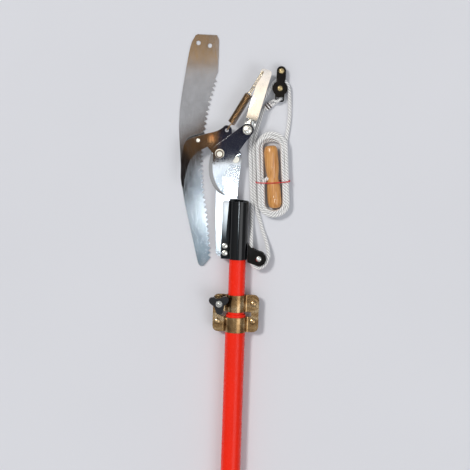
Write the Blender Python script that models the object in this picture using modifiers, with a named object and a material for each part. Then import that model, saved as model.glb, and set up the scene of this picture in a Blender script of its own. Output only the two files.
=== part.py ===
"""A telescoping pole with a rope-worked pruner head, its rope and its loose saw blade, lying on the floor.

Lengths in this file are millimetres, and MM turns them into Blender's metres. +Y runs up the pole to the
head, +X to its right, +Z up from the floor. Places are written from the pole's axis and the pruner's
socket, and the root empty moves them all so that the origin is under the middle of the whole tool.
"""

import math

import bmesh
import bpy
from mathutils import Matrix, Vector

MM = 0.001
GAP = 0.3
ROOT_X = 25.7
ROOT_Y = 491.8

# Pole
POLE_Z = 17.5
INNER_R = 12.5
OUTER_R = 15.0
TUBE_WALL = 1.0
INNER_TOP = 66.0
INNER_END = -1245.0
OUTER_TOP = -97.0
OUTER_END = -1299.0
CAP_R = 17.5
CAP_LENGTH = 32.0
CAP_WALL = 3.0
BUSH_LENGTH = 30.0

# Pruner head: the levels of its plates above the floor
BODY_LOW, BODY_HIGH = 16.0, 19.0
JAW_LOW, JAW_HIGH = 19.3, 23.3
BLADE_LOW, BLADE_HIGH = 23.6, 26.6
LEVER_LOW, LEVER_HIGH, LEVER_THICK = 20.0, 24.0, 3.3
PIVOT = (-31.8, 144.8)
LEVER_PIN = (8.2, 181.1)
JAW_RIVET = (-7.5, 136.3)
SPRING_LOW = (-22.2, 179.4)
SPRING_TOP = (27.0, 266.0)
LEVER_START = (9.0, 181.0)
LEVER_TOP = (34.1, 271.3)
LEVER_HALF = 8.5
PIVOT_R = 4.0
PIN_R = 3.5

# Spring
SPRING_Z = 24.5
COIL_START, COIL_END = 13.0, 62.0
COIL_R = 5.1
WIRE_R = 0.9
COIL_TURNS = 15

# Socket and rope bracket
SHEET = 1.6
SOCKET_LOW, SOCKET_HIGH = -13.5, 74.0
FLANGE_X = -25.3
SOCKET_BOLTS = ((-19.8, 6.2), (-19.6, -4.6))
GUIDE = (31.5, -11.7)
GUIDE_R = 11.0

# Clamp
CLAMP_TOP, SLIT_TOP, SLIT_LOW, CLAMP_LOW = -67.5, -93.7, -101.0, -124.4
EAR_X = 34.5
EAR_INNER_X = 15.5
KNOB = (-25.5, -80.4)
KNOB_TURN, HUB_R, WING_R = 35.0, 8.2, 16.5
CLAMP_RIVETS = ((26.2, -80.9), (25.6, -108.0), (-27.6, -109.0))

# Rope, its block and its toggle
ROPE_R = 2.5
BLOCK = (54.5, 243.4)
BLOCK_EYE = (55.8, 269.2)
BLOCK_Z = 6.4
BECKET_Y = 224.2
FERRULE = (38.2, 215.9)
FERRULE_TURN = 42.0
FERRULE_LENGTH, FERRULE_WIDTH, FERRULE_HEIGHT = 10.4, 10.5, 6.2
HANK = (48.4, 114.9)
HANK_TURN = 4.0
HANK_HALF = 41.0
HANK_IN, HANK_OUT = 13.3, 23.5
HANK_HEIGHT = 16.7
TOGGLE = (48.65, 111.1)
TOGGLE_TURN = 6.5
TOGGLE_R, WAIST_R, TOGGLE_LENGTH = 10.5, 8.6, 94.0

SAW_THICK = 1.3
TOOTH_PITCH = 6.4
TOOTH_DEPTH = 4.2

BRIGHT = ((0.80, 0.80, 0.80), 0.12, 1.0)
STEEL = ((0.62, 0.63, 0.65), 0.25, 1.0)
BLACK = ((0.012, 0.012, 0.013), 0.18, 0.0)
RED = ((0.72, 0.02, 0.01), 0.15, 0.0)
YELLOW = ((0.50, 0.38, 0.16), 0.25, 1.0)
ZINC = ((0.72, 0.71, 0.66), 0.25, 1.0)
WOOD = ((0.60, 0.27, 0.07), 0.30, 0.0)
ROPE = ((0.85, 0.85, 0.83), 0.75, 0.0)
TIE = ((0.62, 0.03, 0.03), 0.45, 0.0)
NYLON = ((0.05, 0.05, 0.05), 0.4, 0.0)
RUBBER = ((0.03, 0.03, 0.03), 0.7, 0.0)

parts = None
cutters = None
root = None


def clear_scene():
    for obj in list(bpy.data.objects):
        bpy.data.objects.remove(obj, do_unlink=True)


def collection(name):
    made = bpy.data.collections.new(name)
    bpy.context.scene.collection.children.link(made)
    return made


def material(name, look):
    colour, roughness, metallic = look
    made = bpy.data.materials.new(name)
    made.use_nodes = True
    shader = made.node_tree.nodes["Principled BSDF"]
    shader.inputs["Base Color"].default_value = (*colour, 1)
    shader.inputs["Roughness"].default_value = roughness
    shader.inputs["Metallic"].default_value = metallic
    return made


def add_part(name, data, look, place=(0, 0, 0), turn=(0, 0, 0)):
    """Puts a mesh or curve in the tool as a sub-part, at a place from the pole's axis."""
    obj = bpy.data.objects.new(name, data)
    parts.objects.link(obj)
    obj.parent = root
    obj.location = Vector(place) * MM
    obj.rotation_euler = turn
    data.materials.append(material(name, look))
    return obj


def make_cutter(obj):
    parts.objects.unlink(obj)
    cutters.objects.link(obj)
    obj.hide_render = True
    obj.display_type = "WIRE"
    return obj


def as_mesh(obj):
    """The same sub-part as a welded mesh, with its modifiers applied."""
    bpy.context.view_layer.update()
    graph = bpy.context.evaluated_depsgraph_get()
    mesh = bpy.data.meshes.new_from_object(obj.evaluated_get(graph))
    shape = bmesh.new()
    shape.from_mesh(mesh)
    bmesh.ops.remove_doubles(shape, verts=shape.verts, dist=0.01 * MM)
    bmesh.ops.recalc_face_normals(shape, faces=shape.faces)
    shape.to_mesh(mesh)
    shape.free()
    name = obj.name
    made = bpy.data.objects.new(name, mesh)
    parts.objects.link(made)
    made.parent = root
    made.matrix_basis = obj.matrix_basis.copy()
    bpy.data.objects.remove(obj, do_unlink=True)
    made.name = name
    return made


def boolean(obj, other, operation):
    change = obj.modifiers.new(operation.lower(), "BOOLEAN")
    change.operation = operation
    change.solver = "EXACT"
    change.object = make_cutter(other)


# Outlines


def arc(centre, radius, start, end, steps=8):
    """Points on an arc, from one angle to another in degrees."""
    found = []
    for step in range(steps + 1):
        angle = math.radians(start + (end - start) * step / steps)
        found.append((centre[0] + radius * math.cos(angle), centre[1] + radius * math.sin(angle)))
    return found


def circle(centre, radius, steps=20):
    return arc(centre, radius, 0, 360, steps)[:-1]


def smooth(points, per=4):
    """Points on a smooth open curve through the given ones, which may be flat or in space."""
    points = [Vector(p) for p in points]
    ends = [2 * points[0] - points[1], *points, 2 * points[-1] - points[-2]]
    found = []
    for a, b, c, d in zip(ends, ends[1:], ends[2:], ends[3:]):
        for step in range(per):
            t = step / per
            found.append(
                0.5 * (2 * b + (c - a) * t + (2 * a - 5 * b + 4 * c - d) * t**2 + (3 * b - a - 3 * c + d) * t**3)
            )
    return [tuple(p) for p in [*found, points[-1]]]


def rounded(corners, steps=4):
    """A closed outline with each corner (x, y, radius) turned into an arc."""
    found = []
    count = len(corners)
    for i, (x, y, radius) in enumerate(corners):
        here = Vector((x, y))
        before = (Vector(corners[i - 1][:2]) - here).normalized()
        after = (Vector(corners[(i + 1) % count][:2]) - here).normalized()
        half = before.angle(after) / 2
        along = radius / math.tan(half)
        centre = here + (before + after).normalized() * radius / math.sin(half)
        start, end = here + before * along - centre, here + after * along - centre
        turn = start.angle_signed(end)
        first = math.atan2(start.y, start.x)
        for step in range(steps + 1):
            angle = first - turn * step / steps
            found.append((centre.x + radius * math.cos(angle), centre.y + radius * math.sin(angle)))
    return found


def ribbon(path, thickness):
    """The closed outline of a strip of sheet that follows a path."""
    path = [Vector(p) for p in path]
    sides = ([], [])
    for i, point in enumerate(path):
        ahead = (path[min(i + 1, len(path) - 1)] - path[max(i - 1, 0)]).normalized()
        across = Vector((-ahead.y, ahead.x)) * thickness / 2
        sides[0].append(tuple(point + across))
        sides[1].append(tuple(point - across))
    return sides[0] + sides[1][::-1]


def stadium(half, radius, steps=10):
    return arc((0, half), radius, 0, 180, steps) + arc((0, -half), radius, 180, 360, steps)


def spread(points, step):
    """Points about one step apart along a path in space."""
    points = [Vector(p) for p in points]
    found = [points[0]]
    travelled = 0.0
    for a, b in zip(points, points[1:]):
        travelled += (b - a).length
        if travelled >= step:
            found.append(b)
            travelled = 0.0
    if (points[-1] - found[-1]).length > step / 2:
        found.append(points[-1])
    else:
        found[-1] = points[-1]
    return found


# Solids


def prism(name, loops, low, high, look, place=(0, 0), turn=(0, 0, 0), at=None):
    """A flat outline, with any holes, extruded from one level to another."""
    curve = bpy.data.curves.new(name, "CURVE")
    curve.dimensions = "2D"
    curve.fill_mode = "BOTH"
    curve.extrude = (high - low) / 2 * MM
    for loop in loops:
        spline = curve.splines.new("POLY")
        spline.points.add(len(loop) - 1)
        spline.use_cyclic_u = True
        for point, (x, y) in zip(spline.points, loop):
            point.co = ((x - place[0]) * MM, (y - place[1]) * MM, 0, 1)
    return add_part(name, curve, look, at or (place[0], place[1], (low + high) / 2), turn)


def turned(name, profile, look, place, turn=(0, 0, 0), ring=False, steps=18):
    """A profile of (radius, height) turned round its own Z axis; a ring's profile is closed."""
    mesh = bpy.data.meshes.new(name)
    edges = [(i, i + 1) for i in range(len(profile) - 1)]
    if ring:
        edges.append((len(profile) - 1, 0))
    mesh.from_pydata([(r * MM, 0, z * MM) for r, z in profile], edges, [])
    obj = add_part(name, mesh, look, place, turn)
    screw = obj.modifiers.new("turn", "SCREW")
    screw.steps = screw.render_steps = steps
    screw.use_merge_vertices = True
    screw.merge_threshold = 0.00001
    screw.use_smooth_shade = True
    return obj


def tube(name, points, radius, look, sides=2, place=(0, 0, 0)):
    """A round tube along points in space."""
    curve = bpy.data.curves.new(name, "CURVE")
    curve.dimensions = "3D"
    curve.bevel_depth = radius * MM
    curve.bevel_resolution = sides
    curve.use_fill_caps = True
    spline = curve.splines.new("POLY")
    spline.points.add(len(points) - 1)
    for point, where in zip(spline.points, points):
        point.co = (*((Vector(where) - Vector(place)) * MM), 1)
    return add_part(name, curve, look, place)


def loft(name, rings, look, place, turn=(0, 0, 0)):
    """A solid through rings of equally many points, closed at both ends."""
    shape = bmesh.new()
    rows = [[shape.verts.new(Vector(p) * MM) for p in ring] for ring in rings]
    for row, after in zip(rows, rows[1:]):
        for i in range(len(row)):
            j = (i + 1) % len(row)
            shape.faces.new((row[i], row[j], after[j], after[i]))
    shape.faces.new(rows[0][::-1])
    shape.faces.new(rows[-1])
    bmesh.ops.recalc_face_normals(shape, faces=shape.faces)
    mesh = bpy.data.meshes.new(name)
    shape.to_mesh(mesh)
    shape.free()
    return add_part(name, mesh, look, place, turn)


def stud_profile(radius, low, high, head_r, head_high, dome=0.0):
    """A shank with a head at its top end: low to high is the shank, and head_high the head's top."""
    crown = [(0, head_high + dome)]
    if dome:
        crown.append((head_r * 0.6, head_high + dome * 0.75))
    return [*crown, (head_r, head_high), (head_r, high), (radius, high), (radius, low), (0, low)]


ALONG_POLE = (-math.pi / 2, 0, 0)


def pole_ring(name, outer, inner, low, high, look, steps=32):
    """A tube round the pole's axis, from one place along the pole to another."""
    profile = [(outer, high), (outer, low), (inner, low), (inner, high)]
    return turned(name, profile, look, (0, 0, POLE_Z), ALONG_POLE, ring=True, steps=steps)


# Pole


def make_inner_tube():
    pole_ring("inner_tube", INNER_R, INNER_R - TUBE_WALL, INNER_END, INNER_TOP, RED)
    ring_in = INNER_R + GAP
    ring_out = OUTER_R - TUBE_WALL - GAP
    pole_ring("guide_bush", ring_out, ring_in, INNER_END, INNER_END + BUSH_LENGTH, NYLON)


def make_outer_tube():
    bore = OUTER_R - TUBE_WALL
    lip = 1.5
    profile = [
        (bore + 0.2, OUTER_TOP),
        (OUTER_R - 0.3, OUTER_TOP - lip / 2),
        (OUTER_R, OUTER_TOP - lip),
        (OUTER_R, OUTER_END),
        (bore, OUTER_END),
        (bore, OUTER_TOP - lip / 2),
    ]
    turned("outer_tube", profile, RED, (0, 0, POLE_Z), ALONG_POLE, ring=True, steps=32)


def make_butt_cap():
    top = OUTER_END + CAP_LENGTH
    low = OUTER_END - CAP_WALL
    edge = 1.2
    profile = [
        (CAP_R - 0.6, top),
        (CAP_R, top - edge),
        (CAP_R, low + edge),
        (CAP_R - edge, low),
        (0, low),
    ]
    inside = [(0, OUTER_END - GAP), (OUTER_R + GAP, OUTER_END - GAP), (OUTER_R + GAP, top)]
    turned("butt_cap", inside[::1] + profile, RUBBER, (0, 0, POLE_Z), ALONG_POLE, steps=32)


# Socket that holds the pole, and the bracket that guides the rope


def make_body_plate():
    outline = [
        *arc((-27.2, -3.9), 6, 180, 270, 5),
        (-15.2, -9.9),
        (-15.2, 76.5),
        (-4.0, 78.0),
        *smooth([(-3.7, 80.0), (-1.8, 105.0), (0.5, 130.0)], 3),
        *arc(JAW_RIVET, 9, 0, 70, 5),
        *arc(PIVOT, 13.5, 60, 190, 10),
        *smooth([(-43.0, 130.0), (-38.0, 108.0), (-35.6, 85.0)], 3),
    ]
    holes = [circle(PIVOT, PIVOT_R + GAP), circle(JAW_RIVET, 3.0 + GAP)]
    holes += [circle(bolt, 2.5 + GAP, 14) for bolt in SOCKET_BOLTS]
    prism("body_plate", [outline, *holes], BODY_LOW, BODY_HIGH, STEEL)


def wrap_path(radius, lift, end_x):
    """A sheet's middle line from a flange, over the pole and back, as (x, height from the pole's axis)."""
    over = arc((0, 0), radius, 163, -163, 24)
    top = [(end_x, lift), (-15.6, lift), (-14.2, lift + 0.3)]
    low = [(x, -y) for x, y in reversed(top)]
    return top + over + low


def make_socket():
    middle = INNER_R + GAP + SHEET / 2
    lift = (BODY_HIGH - BODY_LOW) / 2 + GAP + SHEET / 2
    outline = ribbon(wrap_path(middle, lift, FLANGE_X), SHEET)
    flipped = [(x, -y) for x, y in outline]
    # The outline lies in the XZ plane: turned about X, its own Y becomes -Z.
    span = (SOCKET_LOW + SOCKET_HIGH) / 2
    socket = prism("socket", [flipped], SOCKET_LOW, SOCKET_HIGH, BLACK, turn=ALONG_POLE, at=(0, span, POLE_Z))
    socket = as_mesh(socket)
    for i, (x, y) in enumerate(SOCKET_BOLTS):
        hole = prism(f"socket_hole_{i}", [circle((x, y), 2.5 + GAP, 14)], POLE_Z - 8, POLE_Z + 8, BLACK)
        boolean(socket, as_mesh(hole), "DIFFERENCE")


def make_socket_bolts():
    top = BODY_HIGH + GAP + SHEET + GAP
    low = BODY_LOW - GAP - SHEET - GAP
    profile = stud_profile(2.5, low - 5.5, top, 4.2, top + 1.4, 1.0)
    nut = [arc((0, 0), 4.3, 30, 390, 6)[:-1], circle((0, 0), 2.5 + GAP, 12)]
    for i, (x, y) in enumerate(SOCKET_BOLTS, 1):
        turned(f"socket_bolt_{i}", profile, ZINC, (x, y, 0), steps=18)
        prism(f"socket_nut_{i}", nut, low - 4.0, low, ZINC, at=(x, y, low - 2.0))


def make_rope_bracket():
    """A channel beside the socket: two cheeks and a web between them."""
    web_x = INNER_R + GAP + SHEET + GAP
    cheek = [
        (web_x, 11.0),
        (19.0, 6.0),
        (25.0, 2.2),
        *arc(GUIDE, GUIDE_R, 88, -95, 12),
        (web_x, -17.4),
    ]
    half = 6.1
    front = prism("rope_bracket", [cheek, circle(GUIDE, 3 + GAP)], POLE_Z + half - SHEET, POLE_Z + half, BLACK)
    front = as_mesh(front)
    back_loops = [cheek, circle(GUIDE, 3 + GAP)]
    back = prism("bracket_back", back_loops, POLE_Z - half, POLE_Z - half + SHEET, BLACK)
    boolean(front, as_mesh(back), "UNION")
    web = [(web_x + 0.1, -17.2), (web_x + SHEET, -17.2), (web_x + SHEET, 9.0), (web_x + 0.1, 10.6)]
    side = prism("bracket_web", [web], POLE_Z - half + 0.2, POLE_Z + half - 0.2, BLACK)
    boolean(front, as_mesh(side), "UNION")


def wheel_profile(groove_r, flange_r, half, bore):
    """A grooved rope wheel as a ring profile."""
    return [
        (flange_r, half),
        (flange_r, half - 0.8),
        (groove_r, half * 0.35),
        (groove_r, -half * 0.35),
        (flange_r, -half + 0.8),
        (flange_r, -half),
        (bore, -half),
        (bore, half),
    ]


def make_guide_wheel():
    wheel = wheel_profile(7.0, 10.0, 4.0, 3.3)
    turned("guide_wheel", wheel, NYLON, (*GUIDE, POLE_Z), ring=True, steps=24)
    top = POLE_Z + 6.1 + GAP
    low = POLE_Z - 6.1 - GAP
    profile = [(0, 2.0), (3.2, 1.5), (4.4, 0.4), (4.4, 0), (3, 0), (3, low - top), (4.4, low - top)]
    profile += [(4.4, low - top - 1.6), (0, low - top - 1.6)]
    turned("guide_axle", profile, ZINC, (*GUIDE, top))


# Jaw, cutting blade and lever


def make_hook_jaw():
    outline = [
        *arc((-84.7, 94.6), 2.2, 325, 205, 4),
        *smooth(
            [(-88.7, 107.0), (-88.9, 128.0), (-87.6, 147.0), (-84.2, 159.3), (-77.5, 164.8)]
            + [(-66.8, 168.9), (-52.0, 173.6), (-37.1, 177.9), (-29.0, 182.8)],
            3,
        ),
        *arc(SPRING_LOW, 7.6, 120, -10, 8),
        *smooth([(-13.6, 170.0), (-9.0, 158.0), (0.2, 146.5)], 3),
        *arc(JAW_RIVET, 9, 15, -80, 6),
        *arc(PIVOT, 12.0, -80, -190, 8),
        *smooth(
            [(-50.5, 154.0), (-61.6, 147.5), (-69.6, 140.0), (-76.0, 129.5), (-80.0, 117.4), (-81.8, 105.0)],
            4,
        ),
    ]
    holes = [circle(PIVOT, PIVOT_R + GAP), circle((-64.4, 163.0), 3.0), circle(SPRING_LOW, 2.6, 14)]
    jaw = as_mesh(prism("hook_jaw", [outline, *holes], JAW_LOW, JAW_HIGH, BRIGHT))
    sink = turned(
        "rivet_sink",
        stud_profile(3 + GAP, JAW_LOW - 1, JAW_HIGH - 1.8 - GAP, 5 + GAP, JAW_HIGH + 1),
        BRIGHT,
        (*JAW_RIVET, 0),
    )
    boolean(jaw, as_mesh(sink), "DIFFERENCE")


def make_jaw_rivet():
    low = BODY_LOW - GAP
    profile = [(0, JAW_HIGH), (5, JAW_HIGH), (5, JAW_HIGH - 1.8), (3, JAW_HIGH - 1.8)]
    profile += [(3, low), (5, low), (4.4, low - 1.8), (0, low - 2.2)]
    turned("jaw_rivet", profile, ZINC, (*JAW_RIVET, 0))


def make_cutting_blade():
    edge = smooth(
        [(-44.3, 146.0), (-46.6, 134.0), (-47.3, 121.5), (-44.8, 106.5), (-37.3, 92.0), (-29.0, 84.6), (-21.6, 80.6)],
        4,
    )
    back = smooth([(-20.8, 82.4), (-23.6, 91.0), (-26.6, 100.0), (-26.0, 110.5), (-18.8, 123.9)], 4)
    outline = [
        *arc(LEVER_PIN, 9.6, -40, 132, 10),
        *arc(PIVOT, 12.3, 126, 165, 4),
        *edge,
        *back,
        *smooth([(-10.5, 137.0), (-4.6, 146.9), (5.0, 161.5)], 3),
    ]
    holes = [circle(PIVOT, PIVOT_R + GAP), circle(LEVER_PIN, PIN_R + GAP)]
    prism("cutting_blade", [outline, *holes], BLADE_LOW, BLADE_HIGH, BRIGHT, place=PIVOT)


def make_lever():
    """A flat bar with round ends, stepped up beyond the blade's arm."""
    bar = Vector(LEVER_TOP) - Vector(LEVER_START)
    length = bar.length
    end_r = 4.5
    step_start, step_end = 12.0, 17.0
    stations = []
    for i in range(6):
        back = LEVER_HALF * math.cos(math.pi / 2 * i / 6)
        stations.append((-back, max(0.6, math.sqrt(max(0.0, LEVER_HALF**2 - back**2))), LEVER_LOW))
    stations += [(0, LEVER_HALF, LEVER_LOW), (step_start, LEVER_HALF, LEVER_LOW)]
    stations += [(step_end, LEVER_HALF, LEVER_HIGH), (length - end_r, LEVER_HALF, LEVER_HIGH)]
    for i in range(1, 6):
        angle = math.pi / 2 * i / 5
        half = LEVER_HALF - end_r * (1 - math.cos(angle))
        stations.append((length - end_r + end_r * math.sin(angle), half, LEVER_HIGH))
    rings = []
    for along, half, low in stations:
        high = low + LEVER_THICK
        rings.append([(along, -half, low), (along, half, low), (along, half, high), (along, -half, high)])
    pivot = Vector(PIVOT)
    start = Vector(LEVER_START)
    turn = math.atan2(bar.y, bar.x)
    # The lever's origin is on the jaw's pivot, so its rings are moved back from there.
    shift = Matrix.Rotation(-turn, 2) @ (start - pivot)
    rings = [[(x + shift.x, y + shift.y, z) for x, y, z in ring] for ring in rings]
    lever = loft("lever", rings, STEEL, (*PIVOT, 0), (0, 0, turn))
    for name, place, radius in (("pin_hole", LEVER_PIN, PIN_R + GAP), ("spring_hole", SPRING_TOP, 1.9)):
        hole = prism(name, [circle(place, radius, 16)], LEVER_LOW - 2, LEVER_HIGH + 6, STEEL)
        boolean(lever, as_mesh(hole), "DIFFERENCE")


def make_fasteners():
    """The pivot bolt with its washer and lock nut, and the lever's bolt with its own."""
    low = BODY_LOW - GAP
    hex_head = [arc((0, 0), 7.2, 0, 360, 6)[:-1]]
    head = as_mesh(prism("pivot_bolt", hex_head, low - 5, low, ZINC, at=(*PIVOT, low - 2.5)))
    shank_top = BLADE_HIGH + 8.6
    shank = prism("pivot_shank", [circle((0, 0), PIVOT_R)], low - 2, shank_top, ZINC, at=(*PIVOT, (low - 2 + shank_top) / 2))
    boolean(head, as_mesh(shank), "UNION")
    washer_low = BLADE_HIGH + GAP
    nut_low = washer_low + 1.2 + GAP
    washer = [(6.9, 1.2), (6.9, 0), (PIVOT_R + GAP, 0), (PIVOT_R + GAP, 1.2)]
    turned("pivot_washer", washer, ZINC, (*PIVOT, washer_low), ring=True)
    nut = [arc((0, 0), 6.2, 15, 375, 6)[:-1], circle((0, 0), PIVOT_R + GAP)]
    prism("pivot_nut", nut, nut_low, nut_low + 5.0, ZINC, at=(*PIVOT, nut_low + 2.5))

    nut_top = LEVER_LOW - GAP
    pin_top = BLADE_HIGH + GAP + 1.2 + GAP
    profile = stud_profile(PIN_R, nut_top - 2.4, pin_top, 5.2, pin_top + 2.6, 0.8)
    turned("lever_bolt", profile, ZINC, (*LEVER_PIN, 0))
    washer = [(6.9, 1.2), (6.9, 0), (PIN_R + GAP, 0), (PIN_R + GAP, 1.2)]
    turned("lever_washer", washer, ZINC, (*LEVER_PIN, BLADE_HIGH + GAP), ring=True)
    nut = [arc((0, 0), 6.6, 10, 370, 6)[:-1], circle((0, 0), PIN_R + GAP)]
    prism("lever_nut", nut, nut_top - 2.6, nut_top, ZINC, at=(*LEVER_PIN, nut_top - 1.3))


def make_spring():
    """The coil with its lower hook turns about the jaw's ear; the rod with the upper hook slides out of it."""
    low, high = Vector(SPRING_LOW), Vector(SPRING_TOP)
    along = (high - low).normalized()
    across = Vector((along.y, -along.x))

    def spot(distance, side=0.0, z=SPRING_Z):
        flat = low + along * distance + across * side
        return (flat.x, flat.y, z)

    hook = [spot(0, 0, JAW_LOW - 2.2), spot(0, 0, JAW_LOW), spot(0.2, 0, JAW_HIGH), spot(1.6, 0, SPRING_Z + 0.1)]
    hook += [spot(4.0), spot(9.0), spot(11.6, 0.6)]
    coil = []
    per_turn = 8
    for i in range(COIL_TURNS * per_turn + 1):
        angle = 2 * math.pi * i / per_turn
        distance = COIL_START + (COIL_END - COIL_START) * i / (COIL_TURNS * per_turn)
        coil.append(spot(distance, COIL_R * math.cos(angle), SPRING_Z + COIL_R * math.sin(angle)))
    place = (*SPRING_LOW, SPRING_Z)
    tube("spring_coil", smooth(hook, 2) + coil, WIRE_R, STEEL, 1, place)

    top_z = LEVER_HIGH + LEVER_THICK + GAP + WIRE_R + 0.2
    end = (high - low).length
    rod = [spot(COIL_END + 2.2), spot(COIL_END + 6), spot(COIL_END + 12, 0, SPRING_Z + 2.2), spot(COIL_END + 17, 0, top_z)]
    rod += [spot(end - 8, 0, top_z), spot(end - 3, 0, top_z), spot(end - 0.6, 0, top_z - 0.5)]
    rod += [spot(end, 0, top_z - 2.0), spot(end, 0, LEVER_HIGH - 1)]
    tube("spring_rod", smooth(rod, 3), WIRE_R, STEEL, 2, place)


# Clamp


def clamp_half(name, side):
    """One pressed half of the clamp; side is 1 for the upper half and -1 for the lower one."""
    half_gap = 0.45
    middle = half_gap + SHEET / 2
    strip = SHEET - 0.2
    bands = (
        (INNER_R + GAP + SHEET / 2, SLIT_TOP + 0.3, CLAMP_TOP - 0.3),
        (OUTER_R + GAP + SHEET / 2, CLAMP_LOW + 0.3, SLIT_LOW - 0.3),
    )
    solids = []
    for i, (radius, low, high) in enumerate(bands):
        reach = EAR_INNER_X + 7
        rise = math.degrees(math.asin((middle + 2.2) / radius))
        over = arc((0, 0), radius, 180 - rise, rise, 16)
        path = [(-reach, middle), (-radius - 2.6, middle), (-radius - 0.6, middle + 0.6), *over]
        path += [(radius + 0.6, middle + 0.6), (radius + 2.6, middle), (reach, middle)]
        outline = [(x, -side * y) for x, y in ribbon(path, strip)]
        at = (0, (low + high) / 2, POLE_Z)
        solids.append(prism(f"{name}_band_{i}", [outline], low, high, YELLOW, turn=ALONG_POLE, at=at))
    low_z = POLE_Z + side * half_gap
    high_z = POLE_Z + side * (half_gap + SHEET)
    for hand in (-1, 1):
        notch = 23.5
        corners = [
            (hand * (OUTER_R + 4.4), CLAMP_LOW, 0.8),
            (hand * (OUTER_R + 4.4), SLIT_LOW, 0.8),
            (hand * notch, SLIT_LOW, 2.0),
            (hand * notch, SLIT_TOP, 2.0),
            (hand * (OUTER_R + 2.4), SLIT_TOP, 0.8),
            (hand * (OUTER_R + 2.4), CLAMP_TOP, 0.8),
            (hand * EAR_X, CLAMP_TOP, 8.0),
            (hand * EAR_X, CLAMP_LOW, 8.0),
        ]
        ear = prism(f"{name}_ear_{hand}", [rounded(corners)], min(low_z, high_z), max(low_z, high_z), YELLOW)
        solids.append(ear)
    body = as_mesh(solids[0])
    body.name = name
    for other in solids[1:]:
        boolean(body, as_mesh(other), "UNION")
    for i, place in enumerate((*CLAMP_RIVETS, KNOB)):
        hole = prism(f"{name}_hole_{i}", [circle(place, 3 + GAP, 14)], POLE_Z - 4, POLE_Z + 4, YELLOW)
        boolean(body, as_mesh(hole), "DIFFERENCE")


def make_clamp_rivets():
    top = POLE_Z + 0.45 + SHEET + GAP
    low = POLE_Z - 0.45 - SHEET - GAP
    profile = [(0, top + 2.2), (2.8, top + 1.9), (5.0, top + 0.6), (5.0, top), (3, top)]
    profile += [(3, low), (4.6, low), (4.6, low - 1.4), (0, low - 1.4)]
    for i, (x, y) in enumerate(CLAMP_RIVETS, 1):
        turned(f"clamp_rivet_{i}", profile, YELLOW, (x, y, 0), steps=18)


def make_knob():
    """A knob with three wings, raised to turn clear of the clamp's bulge, on a carriage bolt."""
    low = POLE_Z + 0.45 + SHEET + 2 * GAP
    wing_low, high = 29.3, 34.6
    outline = []
    count = 36
    for i in range(count):
        angle = 2 * math.pi * i / count
        wing = 0.5 + 0.5 * math.cos(3 * (angle - math.radians(KNOB_TURN)))
        radius = HUB_R + 0.2 + (WING_R - HUB_R) * wing**1.3
        outline.append((KNOB[0] + radius * math.cos(angle), KNOB[1] + radius * math.sin(angle)))
    knob = as_mesh(prism("clamp_knob", [outline, circle(KNOB, 5.3)], wing_low, high, BLACK, place=KNOB))
    hub = prism("knob_hub", [circle(KNOB, HUB_R, 24), circle(KNOB, 5.3)], low, high - 1.0, BLACK, place=KNOB)
    boolean(knob, as_mesh(hub), "UNION")
    insert = [(5.0, high + 0.6), (5.0, low), (3 + GAP, low), (3 + GAP, high + 0.6)]
    turned("knob_insert", insert, ZINC, (*KNOB, 0), ring=True, steps=20)
    under = POLE_Z - 0.45 - SHEET - GAP
    top = high + 2.0
    bolt = [(0, top), (2.2, top), (3, top - 0.8), (3, under), (7, under), (6.2, under - 1.8), (3, under - 3)]
    turned("clamp_stud", [*bolt, (0, under - 3.2)], ZINC, (*KNOB, 0), steps=20)


# Loose saw blade


def make_saw_blade():
    back = smooth(
        [(-73.3, 317.2), (-79.4, 304.0), (-84.0, 279.4), (-91.9, 222.1), (-93.9, 190.0), (-92.6, 160.0), (-85.9, 87.2)]
        + [(-74.4, 35.1), (-62.3, -14.1), (-58.6, -26.0)],
        5,
    )
    toothed = smooth(
        [(-44.6, -18.5), (-45.4, 3.0), (-50.9, 46.0), (-57.0, 84.0), (-60.4, 125.6), (-60.0, 150.0), (-57.6, 181.0)]
        + [(-53.2, 210.0), (-46.6, 238.6), (-41.5, 258.0)],
        40,
    )
    edge = [Vector(p) for p in spread([(x, y, 0) for x, y in toothed], TOOTH_PITCH / 2)]
    teeth = []
    for i, point in enumerate(edge[1:-1], 1):
        ahead = (edge[i + 1] - edge[i - 1]).normalized()
        out = Vector((ahead.y, -ahead.x, 0)) * (TOOTH_DEPTH if i % 2 else 0)
        teeth.append(((point + out).x, (point + out).y))
    outline = [
        *back,
        (-55.6, -28.9),
        (-50.5, -28.2),
        *teeth,
        (-38.6, 264.0),
        (-38.2, 285.0),
        (-38.4, 312.0),
        (-41.5, 318.4),
        (-70.0, 318.9),
    ]
    holes = [circle((-68.6, 306.1), 3.3, 16), circle((-51.5, 302.6), 3.3, 16)]
    prism("saw_blade", [outline, *holes], 0, SAW_THICK, STEEL)


# Rope, its block and its toggle


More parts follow.
